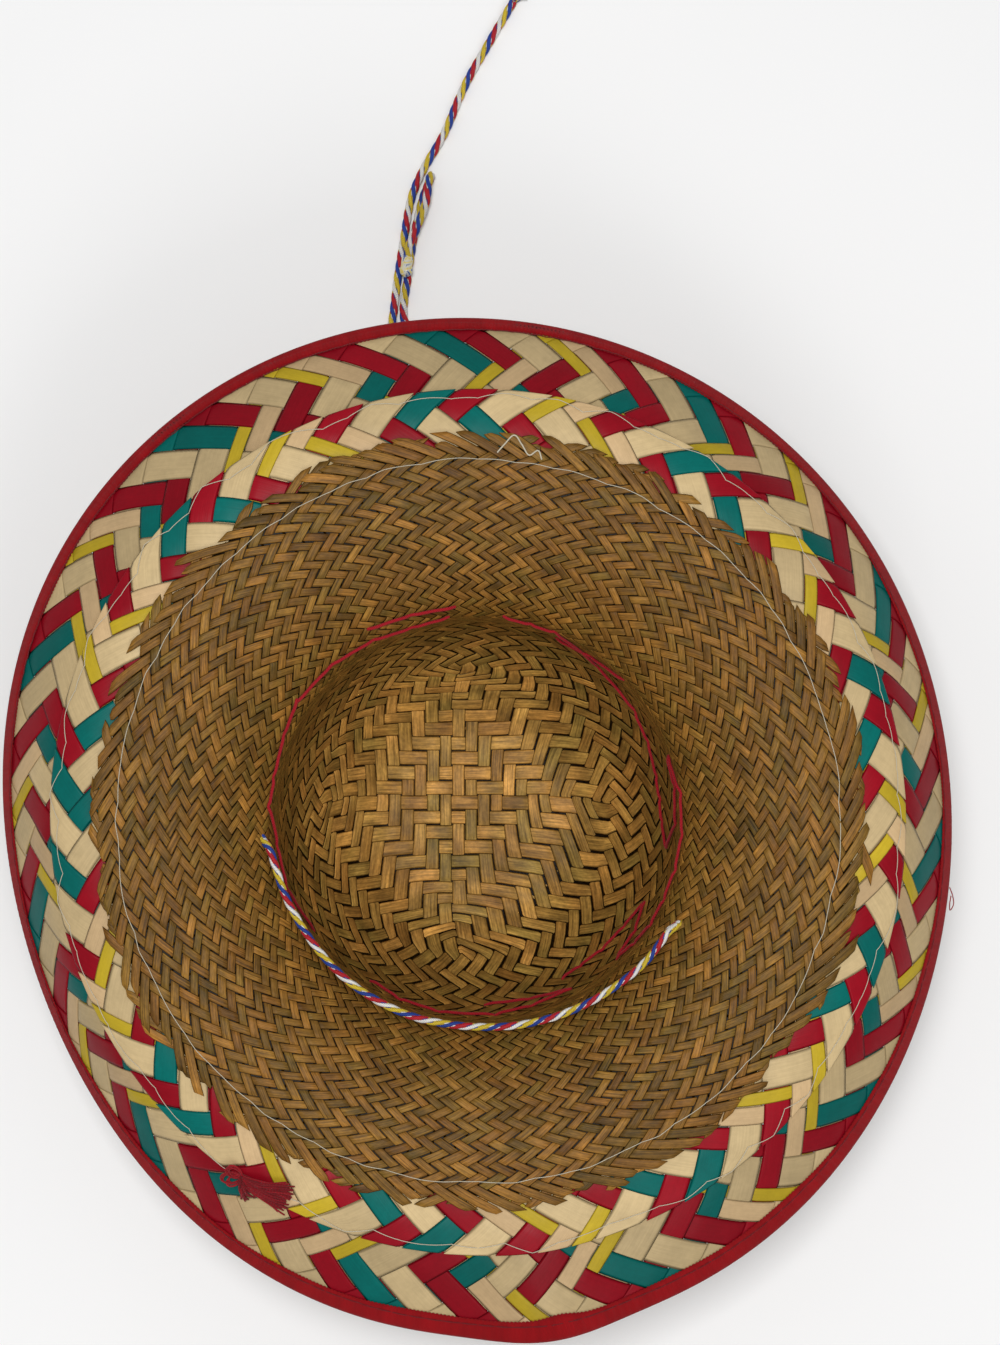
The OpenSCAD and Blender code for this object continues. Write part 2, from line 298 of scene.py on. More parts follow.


# %% [markdown]
# Palm leaf is made of straight fibres with a thin gloss. Lines of fibre darken and lighten it,
# slow blotches age it, and its edges are painted darker as shade between the strips. The same
# streaks raise the surface a little, so light catches the fibres.

# %% Palm finish
def palm_finish(name, lines, contrast, rough, blotches, edge_shade, relief):
    """Dye colour times fibre streaks, blotches and a painted edge shade; bump from the streaks."""
    material, tree, shader = new_finish(name, Roughness=rough, Specular_IOR_Level=0.12)
    fibre = streaks(tree, lines, 55.0)
    blotch = streaks(tree, 0.7, 70.0, 2.0)
    speck = streaks(tree, 5.0, 420.0, 2.0)
    x = add(tree, "SeparateXYZ", {0: add(tree, "UVMap", uv_map="UVMap").outputs[0]}).outputs[0]
    off = add(tree, "Math", {0: x, 1: 0.5}, operation="SUBTRACT").outputs[0]
    off = add(tree, "Math", {0: off}, operation="ABSOLUTE").outputs[0]
    # Painted shade: the outer part of each strip's width darkens towards edge_shade.
    edge = scaled(tree, off, 0.43, 0.5, 1.0, edge_shade)
    tone = scaled(tree, fibre, 0.3, 0.7, 1 - contrast, 1 + contrast)
    tone = times(tree, tone, scaled(tree, blotch, 0.3, 0.7, 1 - blotches, 1 + blotches))
    tone = times(tree, tone, scaled(tree, speck, 0.35, 0.65, 1 - blotches / 2, 1 + blotches / 2))
    tone = times(tree, tone, edge)
    coloured(tree, shader, tone, fibre, 0.55, relief)
    return material


# The sixth number, edge_shade, is the painted shade at each strip's edges.
palm = palm_finish("palm_natural", 9.0, 0.5, 0.45, 0.3, 0.5, 0.0003)
dyed_palm = palm_finish("palm_dyed", 22.0, 0.07, 0.4, 0.07, 0.8, 0.00012)


# %% [markdown]
# The cord, the yarn and the threads are spun, so their fibres run at a slant round the yarn.
# A wave over the UV map gives those slanted lines, and a little sheen gives their fuzz.

# %% Spun finish
def spun_finish(name, turns, rough, sheen, depth):
    """Dye colour with slanted ply lines: a sine of around plus along times turns."""
    material, tree, shader = new_finish(
        name, Roughness=rough, Sheen_Weight=sheen, Sheen_Roughness=0.4, Specular_IOR_Level=0.3
    )
    uv = add(tree, "UVMap", uv_map="UVMap").outputs[0]
    place = add(tree, "Mapping", {"Vector": uv, "Scale": (1.6, turns, 1)}).outputs[0]
    numbers = {"Vector": place, "Scale": 1.0, "Distortion": 0.6, "Detail": 1.0}
    ply = add(tree, "TexWave", numbers, bands_direction="DIAGONAL").outputs["Fac"]
    fuzz = streaks(tree, 12.0, 260.0)
    tone = times(tree, scaled(tree, ply, 0, 1, 0.66, 1.1), scaled(tree, fuzz, 0.3, 0.7, 0.72, 1.2))
    height = times(tree, scaled(tree, ply, 0, 1, 0.3, 1), scaled(tree, fuzz, 0.3, 0.7, 0.6, 1))
    coloured(tree, shader, tone, height, 0.7, depth)
    return material


cord_finish = spun_finish("cord_braid", 500.0, 0.6, 0.1, 0.00025)
yarn_finish = spun_finish("red_yarn", 420.0, 0.85, 0.08, 0.0004)
thread_finish = spun_finish("white_thread", 900.0, 0.6, 0.2, 0.0002)
print("finishes:", [m.name for m in bpy.data.materials if m.name != "Material"])

# %% [markdown]
# ## The chin cord
# The cord is one length of round braid, 5 mm across. It comes up through a hole on the left,
# lies round the inside of the crown and goes out through a hole on the right; both ends drop
# to the table and lie out past the brim. The lines below repeat the CAD route, and a smooth
# curve through them is the centreline.

# %% Cord routes
inside_route = [
    (-107.6, -9.4, 138.2), (-104.2, -13.7, 140.6), (-101, -23.5, 140), (-96.5, -37, 138.5),
    (-88, -53, 138), (-77.5, -67.5, 138), (-65, -80, 138), (-50, -90, 138),
    (-33.5, -97.5, 138), (-16, -101.5, 138), (2, -103, 138.5), (20, -102, 139.5),
    (37.5, -98, 141), (54.5, -91, 142.5), (70.5, -81, 144), (83.5, -70, 145.5),
    (90.5, -61, 146.5), (95.2, -54.8, 145.7), (99.6, -51.9, 142.8),
]
tail_route = [
    (-107.6, -9.4, 138.2), (-111, -5.1, 135.8), (-115, 0, 130), (-117, 5, 116), (-117, 9, 95),
    (-116, 14, 73), (-115.5, 20, 51), (-114.5, 27, 30), (-113, 37, 13), (-110, 51, 4),
    (-105, 68, 2.6), (-98, 89, 2.6), (-91, 112, 2.6), (-84, 135, 2.6), (-77, 158, 2.6),
    (-70, 181, 2.6), (-63, 204, 2.6), (-56.5, 227, 2.6), (-51, 250, 2.6), (-46.5, 270, 2.6),
    (-43.5, 293, 2.6), (-40, 315, 2.6), (-36, 337, 2.6), (-30, 351.5, 2.6), (-18.5, 371.5, 2.6),
    (-7, 398, 2.6), (6, 421, 2.6), (19, 443, 2.6),
]
return_route = [
    (99.6, -51.9, 142.8), (104, -49, 139.9), (110, -44.5, 134), (114.5, -39, 119),
    (116.5, -32, 96), (117, -24, 72), (116.5, -14.5, 48), (115, -3, 26), (112, 13, 9),
    (107, 31, 2.8), (99, 52, 2.6), (88, 74, 2.6), (75, 95, 2.6), (60, 116, 2.6), (44, 138, 2.6),
    (28, 160, 2.6), (12, 182, 2.6), (-4, 205, 2.6), (-19, 228, 2.6), (-31, 250, 2.6),
    (-40, 272, 2.6), (-38, 294, 2.6), (-34.5, 317, 2.6), (-29.4, 338, 2.6), (-26.5, 345.5, 2.6),
    (-25.8, 347.6, 3.4), (-25.4, 348.4, 5.3), (-25.8, 347.6, 7.2), (-26.6, 345, 8),
    (-28, 334, 8), (-33, 320, 8), (-37.5, 309, 8.2), (-38, 302, 8.6),
]


def smooth_line(route, step):
    """A centripetal spline through the points, resampled at equal distances: each span is a
    cubic whose tangents are the slopes over its neighbours' square-root-spaced knots."""
    p = np.array(route, float) * mm
    knots = np.concatenate([[0], np.cumsum(np.linalg.norm(np.diff(p, axis=0), axis=1) ** 0.5)])
    slope = np.gradient(p, knots, axis=0)
    t = np.linspace(0, knots[-1], 40 * len(p))
    i = np.clip(np.searchsorted(knots, t, side="right") - 1, 0, len(p) - 2)
    h = (knots[i + 1] - knots[i])[:, None]
    x = ((t - knots[i]) / h[:, 0])[:, None]
    dense = (2 * x**3 - 3 * x**2 + 1) * p[i] + (x**3 - 2 * x**2 + x) * h * slope[i]
    dense = dense + (3 * x**2 - 2 * x**3) * p[i + 1] + (x**3 - x**2) * h * slope[i + 1]
    far = travelled(dense[None])[0]
    even = np.linspace(0, far[-1], int(round(far[-1] / step)) + 1)
    return np.stack([np.interp(even, far, dense[:, k]) for k in range(3)], axis=-1), far[-1]


# %% [markdown]
# The braid has eight strands, four turning each way. Looking along the cord, the ones that turn
# anticlockwise lie outermost on the top half and the others on the bottom half, so long floats
# show on top and small chevrons down the sides.

# %% Braid the cord
yellow_strand, white_strand = srgb(206, 178, 44), srgb(222, 220, 216)
red_strand, blue_strand = srgb(176, 20, 34), srgb(28, 60, 146)
strand_dyes = np.array([yellow_strand, white_strand, red_strand, blue_strand])


def upright(line):
    """A direction square to the line: up where it lies flat, outwards where it drops."""
    heading = unit(np.gradient(line, axis=0))
    steep = np.clip(np.abs(heading[:, 2]) * 2 - 0.5, 0, 1)[:, None]
    radial = unit(line * [1, 1, 0])
    want = np.array([0, 0, 1.0]) * (1 - steep) + radial * steep
    up = unit(want - heading * (want * heading).sum(axis=1, keepdims=True))
    return heading, up


def braid_cord(line, size=1.0):
    """Strand centres: line + (radius ± swell·cos φ)·(up·cos φ + side·sin φ), where φ turns once
    in each lead, and the direction from the line to each strand."""
    heading, up = upright(line)
    side = np.cross(up, heading)
    far = travelled(line[None])[0]
    lead, radius, swell = 22.5 * mm, 1.55 * mm * size, 0.38 * mm * size
    way = np.repeat([1.0, -1.0], 4)[:, None]
    start = np.tile(np.arange(4) * np.pi / 2, 2)[:, None]
    turn = way * (2 * np.pi * far / lead) + start
    outward = up * np.cos(turn)[..., None] + side * np.sin(turn)[..., None]
    reach = radius + way * swell * np.cos(turn)
    return line + outward * reach[..., None], outward


def add_cord(name, route, node, size=1.0):
    """One stretch of the cord as a piece, with its centreline and its length."""
    line, length = smooth_line(route, 1.2 * mm)
    centre, outward = braid_cord(line, size)
    dye = np.tile(strand_dyes, (2, 1))[:, None] * rng.uniform(0.9, 1.08, (8, 1, 1))
    parts = [yarns(centre, outward, 1.12 * mm * size, 0.66 * mm * size, dye, rng.random(8), 7)]
    piece = add_piece(name, parts, cord_finish, "cord_braid", node)
    return piece, line, length


# %% [markdown]
# The tail's end has come undone into loose filaments, so they are made as thin yarns that fan
# out. Then the three stretches are laid along their routes. The one inside the crown looks
# thinner than the others, so its strands are drawn smaller.

# %% Lay the three stretches
def frayed_end(line):
    """Loose filaments from the cord's end: each starts in the cord and opens out as a
    quarter-wave of its own slant, with a little curl."""
    count = 26
    heading = unit(line[-1] - line[-6])
    side = unit(np.cross(heading, [0, 0, 1.0]))
    t = np.linspace(0, 1, 9)[None, :, None]
    swing = rng.uniform(-1, 1, (count, 1, 1)) * 0.006
    rise = rng.uniform(-0.05, 0.6, (count, 1, 1)) * 0.002
    reach = rng.uniform(0.006, 0.014, (count, 1, 1))
    curl = np.sin(t * 6 + rng.uniform(0, 6, (count, 1, 1))) * 0.0006
    root = line[-2] + side * rng.uniform(-1, 1, (count, 1, 1)) * 0.0015
    centre = root + heading * reach * t + side * (swing * t**1.5 + curl)
    centre = centre + np.array([0, 0, 1.0]) * rise * t
    dye = strand_dyes[rng.integers(0, 4, count)][:, None]
    up = np.broadcast_to([0, 0, 1.0], centre.shape)
    return yarns(centre, up, 0.22 * mm, 0.22 * mm, dye, rng.random(count), 5)


cord_inside, inside_line, inside_length = add_cord(
    "chin_cord_inside_braid", inside_route, "chin_cord_inside", 0.88
)
cord_tail, tail_line, tail_length = add_cord("chin_cord_tail_braid", tail_route, "chin_cord_tail")
cord_return, return_line, return_length = add_cord(
    "chin_cord_return_braid", return_route, "chin_cord_return"
)
fray = add_piece(
    "chin_cord_frayed_end", [frayed_end(tail_line)], cord_finish, "cord_braid", "chin_cord_tail"
)
print("cord lengths:", [round(v, 3) for v in (inside_length, tail_length, return_length)])

# %% [markdown]
# The cord's other end was melted so that it can't fray. It is a small glassy lump, a bit wider
# than the cord, in which the strands' colours have run together.

# %% Melted end
def melted_finish():
    """Pale plastic with blue and yellow run into it by distorted noise."""
    material, tree, shader = new_finish("cord_melt", Roughness=0.3, Coat_Weight=0.3)
    place = add(tree, "TexCoord").outputs["Object"]
    numbers = {"Vector": place, "Scale": 210.0, "Detail": 3.0, "Distortion": 1.4}
    swirl = add(tree, "TexNoise", numbers)
    ramp = add(tree, "ValToRGB", {0: swirl.outputs[0]})
    stops = [(0.4, srgb(46, 78, 140)), (0.48, srgb(206, 206, 198)), (0.62, srgb(206, 184, 84))]
    ramp.color_ramp.elements[0].position = stops[0][0]
    ramp.color_ramp.elements[0].color = (*stops[0][1], 1)
    ramp.color_ramp.elements[1].position = stops[2][0]
    ramp.color_ramp.elements[1].color = (*stops[2][1], 1)
    middle = ramp.color_ramp.elements.new(stops[1][0])
    middle.color = (*stops[1][1], 1)
    tree.links.new(ramp.outputs[0], shader.inputs["Base Color"])
    bump = add(tree, "Bump", {"Height": swirl.outputs[0], "Strength": 0.5, "Distance": 0.0004})
    tree.links.new(bump.outputs[0], shader.inputs["Normal"])
    return material


def melted_end(line):
    """A lump of revolution along the cord's last heading: radius is a rounded bell of the
    distance, with three shallow lobes round it."""
    heading = unit(line[-1] - line[-8])
    t = np.linspace(0, 1, 22)
    centre = line[-3] + heading * (t * 11.5 * mm)[:, None]
    centre[:, 2] += np.sin(t * np.pi) * 0.3 * mm
    bell = (2.3 + 0.9 * np.sin(np.pi * t) + 0.25 * np.sin(t * 11)) * mm
    bell = bell * np.sqrt(np.clip((1.0 - t) * 7, 0, 1))
    up = np.broadcast_to([0, 0, 1.0], (1, 22, 3))
    return yarns(centre[None], up, bell[None] * 1.05, bell[None] * 0.92, srgb(210, 205, 190), 0.5, 20)


blob = add_piece(
    "chin_cord_melted_end", [melted_end(return_line)], melted_finish(), "cord_melt", "cord_fused_end"
)

# %% [markdown]
# ## The hat's surface
# All woven pieces lie on one surface, so it is worth a function of its own. A place on it is an
# angle round the hat, a distance along the meridian from the middle of the tip, and a depth
# below the head's side. The meridian is a flat tip, a quarter ellipse up the wall, a quarter
# ellipse over the lip and a level strip; from the ragged edge the brim bends down on an arc and
# runs on straight, at a lean that changes round the hat.

# %% Meridian and lean
tip_r, opening_r, level_r, ragged_r = 46 * mm, 102 * mm, 174 * mm, 188 * mm
tip_z, wall_z, brim_z = 2 * mm, 125 * mm, 162 * mm
droop_run = 40 * mm


def meridian_table():
    """Rows of distance, radius, height and the two parts of the normal: tip, wall, lip, level."""
    t = np.radians(np.linspace(0, 90, 361))
    a, b = opening_r - tip_r, wall_z - tip_z
    c, d = level_r - opening_r, brim_z - wall_z
    flat = np.linspace(0, tip_r, 60)[:-1]
    level = np.linspace(level_r, ragged_r, 30)[1:]
    r = np.concatenate([flat, tip_r + a * np.sin(t), level_r - c * np.cos(t[1:]), level])
    z = np.concatenate(
        [flat * 0 + tip_z, wall_z - b * np.cos(t), wall_z + d * np.sin(t[1:]), level * 0 + brim_z]
    )
    nr = np.concatenate([flat * 0, -b * np.sin(t), -d * np.cos(t[1:]), level * 0])
    nz = np.concatenate([flat * 0 + 1, a * np.cos(t), c * np.sin(t[1:]), level * 0 + 1])
    u = np.concatenate([[0], np.cumsum(np.hypot(np.diff(r), np.diff(z)))])
    size = np.hypot(nr, nz)
    return u, r, z, nr / size, nz / size


mer_u, mer_r, mer_z, mer_nr, mer_nz = meridian_table()
ragged_u = mer_u[-1]


def lean_at(angle):
    """Downward lean of the rim: a mean and sines of the angle, less a bump over the overlap."""
    degrees = np.degrees(angle) % 360
    bump = np.exp(-(((degrees - 278) / 7) ** 2))
    lean = 38 + 14 * np.cos(2 * angle) + 7 * np.sin(2 * angle) + 2 * np.sin(angle)
    return np.radians(lean - 4 * np.sin(3 * angle) - 14 * bump)


def hat(angle, u, depth):
    """Points and normals at angles, meridian distances and heights above the head's side.
    Past the ragged edge: arc of radius run over lean, then straight down the lean."""
    angle, u, depth = np.broadcast_arrays(angle, u, depth)
    s = np.maximum(u - ragged_u, 0)
    lean = lean_at(angle)
    here = lean * np.minimum(s, droop_run) / droop_run
    past = np.maximum(s - droop_run, 0)
    r = np.interp(u, mer_u, mer_r) + droop_run / lean * np.sin(here) + past * np.cos(lean)
    z = np.interp(u, mer_u, mer_z) - droop_run / lean * (1 - np.cos(here)) - past * np.sin(lean)
    nr = np.where(s > 0, np.sin(here), np.interp(u, mer_u, mer_nr))
    nz = np.where(s > 0, np.cos(here), np.interp(u, mer_u, mer_nz))
    normal = unit(np.stack([nr * np.cos(angle), nr * np.sin(angle), nz], axis=-1))
    centre = np.stack([r * np.cos(angle), r * np.sin(angle), z], axis=-1)
    return centre + normal * depth[..., None], normal


overlap_lean = np.degrees(lean_at(np.radians(278)))
print(f"meridian to the ragged edge: {ragged_u:.4f} m; lean at the overlap {overlap_lean:.1f}")

# %% [markdown]
# ## The woven body: colours
# A dried palm strip is tan, straw, brown or olive, and changes along its length. One helper
# mixes those tones for any number of strips.

# %% Palm tones
tan, straw_brown, brown = srgb(140, 110, 56), srgb(152, 112, 56), srgb(138, 98, 48)
olive, pale_tan = srgb(128, 104, 52), srgb(166, 122, 64)
palm_tones = np.array([tan, straw_brown, brown, olive, pale_tan])


def painted_crown_light_gain(u):
    """A colour gain that is high inside the crown, as painted light lifting its shaded inside,
    and low on the brim: a smooth step down along the meridian, with the blue part falling most."""
    t = eased((u / mm - 60) / 130)[..., None]
    return np.array([1.34, 1.36, 1.25]) * (1 - t) + np.array([0.63, 0.56, 0.38]) * t


def strip_tones(rows, stations):
    """One tone per strip, mixed half and half with a tone that wanders along it, times a slow
    random change of brightness."""
    size = (rows, stations // 5 + 3)
    base = palm_tones[rng.integers(0, len(palm_tones), rows)][:, None]
    knots = 0.5 * base + 0.5 * palm_tones[rng.integers(0, len(palm_tones), size)]
    knots = knots * rng.uniform(0.68, 1.32, size)[..., None] * rng.uniform(0.88, 1.12, (rows, 1, 1))
    x = np.linspace(0, size[1] - 1.001, stations)
    i = x.astype(int)
    part = (x - i)[None, :, None]
    return knots[:, i] * (1 - part) + knots[:, i + 1] * part


# %% [markdown]
# ## The woven body: crown
# The weave starts at the tip as a plain crossing of two sets of strips and then runs up the
# wall on the slant. Strips of both sets have half-whole numbers, and the sum k of the two
# numbers counts the rings outwards. Inside ring 14 a strip goes from a square lattice to a
# ring-like spacing; beyond, it climbs the wall as a spiral. The twill goes over two, under two:
# at ring k the strip that leans anticlockwise is on top when k leaves 1 or 2 after division by
# four.

# %% Rows of the spiral
rings, crown_rows = 14, 30
crown_gap = 2 * np.pi / (4 * rings)
ring_pitch = 6 * mm
wide_pitch, close_pitch = 8.0 * mm, 6.85 * mm
middle_shift = 14 * mm
palm_t = 0.36 * mm
row_samples = 20  # places tabled in each row
crossing = np.array([-0.36, 0.0, 0.36])  # stations round a crossing, in rows


def spiral_rows(start_u, gap, knots_u, knots_deg, count):
    """Meridian distance of each row: a row is radius times half the gap, over the tangent of
    the strips' angle to the meridian, summed outwards from the start."""
    u = np.linspace(start_u, ragged_u + 0.05, 4000)
    slant = np.tan(np.radians(np.interp(u, knots_u, knots_deg)))
    r = np.interp(u, mer_u, mer_r)
    rows = np.concatenate([[0], np.cumsum(np.diff(u) * (2 * slant / (r * gap))[1:])])
    return np.interp(np.arange(0, count, 1 / row_samples), rows, u)


def row_u(k, table):
    """Meridian distance at row k, which need not be whole, from a table of spiral rows."""
    return np.interp(k * row_samples, np.arange(len(table)), table)


def row_at(u, table):
    """The row, with its fraction, that lies at a meridian distance."""
    return np.interp(u, table, np.arange(len(table)) / row_samples)


wall_rows = spiral_rows(rings * ring_pitch, crown_gap, [0.084, 0.17], [36, 46], 24)


def crown_place(strip, along, lengthways):
    """Flat place of a strip on the unrolled crown. Lattice: strip and along times the pitch.
    Ring: radius U(k), at 90° times the share of k. Wall: U(k) again, turning half a gap per k.
    The middle of the weave lies to one side of the tip, a shift that fades up the wall."""
    k = np.abs(strip) + np.abs(along)
    u = np.where(k < rings, k * ring_pitch, row_u(k - rings, wall_rows))
    inner = np.pi / 2 * np.abs(along) / np.maximum(k, 1e-9)
    outer = np.pi / 2 * (1 - np.abs(strip) / rings) + (k - rings) * crown_gap / 2
    turn = np.where(k < rings, inner, outer)
    cross = np.where(strip < 0, -1, 1) * u * np.cos(turn)
    onward = np.where(along < 0, -1, 1) * u * np.sin(turn)
    mix = eased((k - 4) / (rings - 4))
    pitch = (close_pitch, wide_pitch) if lengthways else (wide_pitch, close_pitch)
    cross = mix * cross + (1 - mix) * strip * pitch[0]
    onward = mix * onward + (1 - mix) * along * pitch[1]
    x, y = (cross, onward) if lengthways else (onward, cross)
    stay = 1 - eased((u / mm - 40) / 125)
    return x - middle_shift * stay, y + middle_shift * stay


def crown_point(strip, along, lengthways, depth):
    """The flat place as angle and meridian distance, on the hat."""
    x, y = crown_place(strip, along, lengthways)
    return hat(np.arctan2(y, x), np.hypot(x, y), depth)


# %% [markdown]
# The two sets of crown strips cross each other and are otherwise alike, so one function makes
# both, two strips at a time.

# %% Crown strips
def crown_strips(size, lengthways):
    """The two strips numbered plus and minus size, of one set. Three stations at every
    crossing hold the strip over or under. The edges are the places half a number to each side,
    so every section lies along the strips that it crosses."""
    strip = np.array([[size], [-size]])
    reach = crown_rows - size
    cross = np.arange(-reach, reach + 0.5)
    along = (cross[:, None] + crossing).ravel()[None]
    ring = size + np.abs(np.repeat(cross, 3))[None]
    same = (strip * along > 0) == lengthways
    over = np.where(same == np.isin(np.round(ring) % 4, (1, 2)), 1, -1)
    steep = np.clip((ring - 8) / 8, 0, 1)
    depth = (-1.05 + (0.34 + 0.16 * steep) * over) * mm
    share = (0.485 - 0.06 * steep) * rng.uniform(0.93, 1.03, (2, 1))
    strip, along, share = np.broadcast_arrays(strip * 1.0, along, share)
    left, normal = crown_point(strip - share, along, lengthways, depth)
    right, _ = crown_point(strip + share, along, lengthways, depth)
    x, y = crown_place(strip, along, lengthways)
    # The gain paints light into the crown strips' colour, lifting the shaded inside of the crown.
    dye = strip_tones(2, depth.shape[1]) * painted_crown_light_gain(np.hypot(x, y))
    return strips(left, right, normal, palm_t, dye, rng.random(2))


crown = [crown_strips(n + 0.5, way) for n in range(rings) for way in (True, False)]
add_piece("crown_weave", crown, palm, "palm_natural", "woven_body")

# %% [markdown]
# ## The woven body: lip and brim
# High on the wall each strip is split in two, which doubles the count and makes the weave
# finer over the lip and the brim. The strips end in a ragged edge over the first plait, each
# cut to its own length and on its own slant. Four pieces keep each mesh light.

# %% Brim strips
brim_gap = crown_gap / 2
brim_start = 167.5 * mm
brim_rows = spiral_rows(
    brim_start, brim_gap, [0.17, 0.197, 0.224, 0.255, 0.293], [46, 48, 52, 58, 61], 60
)
brim_count = int(row_at(ragged_u - 4 * mm, brim_rows))


def brim_strips(first, last, way):
    """Strips numbered first to last of one set: the angle moves half a gap each row. A section
    lies along the crossing strips, half a row down on one side and up on the other. The last
    stations carry the strip past the ragged edge to its own slanted cut."""
    number = np.arange(first, last)[:, None]
    rows = len(number)
    cross = np.arange(1, brim_count + 1)
    k = np.tile((cross[:, None] + crossing).ravel(), (rows, 1))
    over = np.where(np.isin(np.round(k) % 4, (1, 2)), way, -way) * 1.0
    longer = rng.uniform(-2.5, 5.5, (rows, 1))
    stray = rng.random((rows, 1)) < 0.1
    longer = longer + stray * rng.uniform(2, 6, (rows, 1))
    last_row = brim_rows[-1] - brim_rows[-1 - row_samples]
    tip_k = row_at(ragged_u, brim_rows) + longer * mm / last_row
    end_k = k[:, -1:] + (tip_k - k[:, -1:]) * [0.4, 0.8, 1.0]
    k = np.concatenate([k, end_k], axis=1)
    over = np.concatenate([over, over[:, -1:] * [0.6, 0.3, 0.1]], axis=1)
    depth = (-1.05 + 0.5 * over) * mm
    share = 0.46 * rng.uniform(0.9, 1.06, (rows, 1)) * np.ones(k.shape[1])
    share[:, -1] *= rng.uniform(0.45, 1.0, rows)
    slant = np.ones_like(k)
    slant[:, -1:] = rng.uniform(-0.1, 1.0, (rows, 1))
    slant[:, -2] = (1 + slant[:, -1]) / 2
    angle = brim_gap * (number + 0.5) + way * k * brim_gap / 2
    edges = []
    for side in (-1, 1):
        shift = side * share
        u = row_u(k + shift * slant, brim_rows)
        edges.append(hat(angle + way * shift * brim_gap * (slant / 2 - 1), u, depth))
    (left, normal), (right, _) = edges
    dye = strip_tones(rows, k.shape[1]) * painted_crown_light_gain(row_u(k, brim_rows))
    return strips(left, right, normal, palm_t, dye, rng.random(rows))


quarter = 2 * rings
for n in range(4):
    both = [brim_strips(n * quarter, (n + 1) * quarter, way) for way in (1, -1)]
    add_piece(f"brim_weave_{n + 1}", both, palm, "palm_natural", "woven_body")

# %% [markdown]
# Real strips overlap so tightly that no light comes through. A very thin sheet in the
# middle of the weave does the same between the modelled strips; it is near-black as painted
# shade, which only the slits show.

# %% Painted shade in the middle of the weave
def painted_shade_sheet(u_from, u_to, stations, depth, dye):
    """A fan of 180 wide strips edge to edge round the hat, from one meridian distance to another."""
    edges = np.linspace(0, 2 * np.pi, 181)
    u = np.linspace(u_from, u_to, stations)
    left, normal = hat(edges[:-1, None], u[None], depth)
    right, _ = hat(edges[1:, None], u[None], depth)
    return strips(left, right, normal, 0.06 * mm, dye, 0.5)


# The near-black dye is painted shade for the slits between the strips.
painted_shade_parts = [painted_shade_sheet(0.3 * mm, ragged_u - 3 * mm, 70, -1.0 * mm, srgb(18, 10, 4))]
add_piece("weave_painted_shade_sheet", painted_shade_parts, palm, "palm_natural", "woven_body")

# %% [markdown]
# ## The two plaits
# Each plait is a flat braid of wide strips in natural, red, teal and yellow. A strip runs on a
# slant to the plait's outer edge, folds over along that edge, and runs back on the other
# slant, so its colour shows on both. The crossings go over two and under two. Sections are cut
# along the edge, which makes every fold lie exactly on it.

# %% Plait strips
teal, red, yellow = srgb(0, 98, 92), srgb(142, 8, 26), srgb(186, 160, 40)
straw, straw_pink = srgb(196, 172, 128), srgb(196, 166, 124)
plait_order = [teal, red, straw, yellow, straw_pink, red, straw]
plait_widths = np.array([27, 27, 35, 15, 22, 27, 33], float)


def plait_edges(count, teal_at):
    """Angles of the borders between strips, anticlockwise, for strip numbers from one turn
    below nought to two turns above, and each strip's kind. The seven-colour order repeats
    clockwise from the first teal strip, and the widths are scaled to close the circle."""
    kinds = (-np.arange(count)) % 7
    width = plait_widths[kinds]
    width = width / width.sum() * 2 * np.pi
    border = np.concatenate([[0], np.cumsum(width)]) - width[0] / 2 + np.radians(teal_at)
    turns = [border[:-1] + 2 * np.pi * n for n in (-1, 0, 1)]
    return kinds, np.concatenate(turns + [border[:1] + 4 * np.pi])


def plait(count, teal_at, edge_s, row, rows_deep, first_over, depth, painted_shade_gain):
    """All strips of a plait, both slants, on a lattice of strip numbers. Place (a, b) lies
    where strip a of one slant meets strip b of the other: at the mean of their angles, and in
    from the edge by a row for each number between them. A strip starts as the triangle of its
    own fold, and goes over two and under two."""
    kinds, border = plait_edges(count, teal_at)
    knots = np.arange(len(border)) - count - 0.5
    gap = 2 * np.pi / count
    bias = rng.uniform(-1, 1, 24) * 0.9

    def place(a, b, level):
        one, two = np.interp(a, knots, border), np.interp(b, knots, border)
        v = np.maximum((two - one) / gap, 0) * row
        middle = (one + two) / 2
        lean_in = np.interp(np.degrees(middle) % 360, np.arange(0, 360, 15), bias, period=360)
        return hat(middle + lean_in * v, ragged_u + edge_s - v, level)

    number = np.arange(count)[:, None] * 1.0
    steps = (np.arange(0, rows_deep)[:, None] + crossing).ravel()
    steps = np.concatenate([[-0.47, -0.25, 0.0, 0.25, 0.4], steps[3:]])
    turn = np.round(steps).astype(int)
    half = 0.49 * rng.uniform(0.97, 1.01, (count, 1))
    parts = []
    for way in (1, -1):
        over = np.where((turn - first_over) % 4 < 2, way, -way) * np.ones((count, 1))
        level = depth + 0.36 * over * mm
        near = np.minimum(half, steps)
        if way > 0:
            left, normal = place(number - half, number + steps, level)
            right, _ = place(number + near, number + steps, level)
        else:
            left, normal = place(number - steps, number - near, level)
            right, _ = place(number - steps, number + half, level)
        colours = np.array(plait_order)[kinds] * rng.uniform(0.88, 1.1, (count, 1))
        dye = np.repeat(colours[:, None], len(steps), axis=1) * painted_shade_gain
        parts.append(strips(left, right, normal, 0.42 * mm, dye, rng.random(count)))
    return parts


inner = plait(65, 185.3, 27.5 * mm, 8.8 * mm, 5, 0, -2.75 * mm, 1.0)
add_piece("inner_plait", inner, dyed_palm, "palm_dyed", "inner_braid")
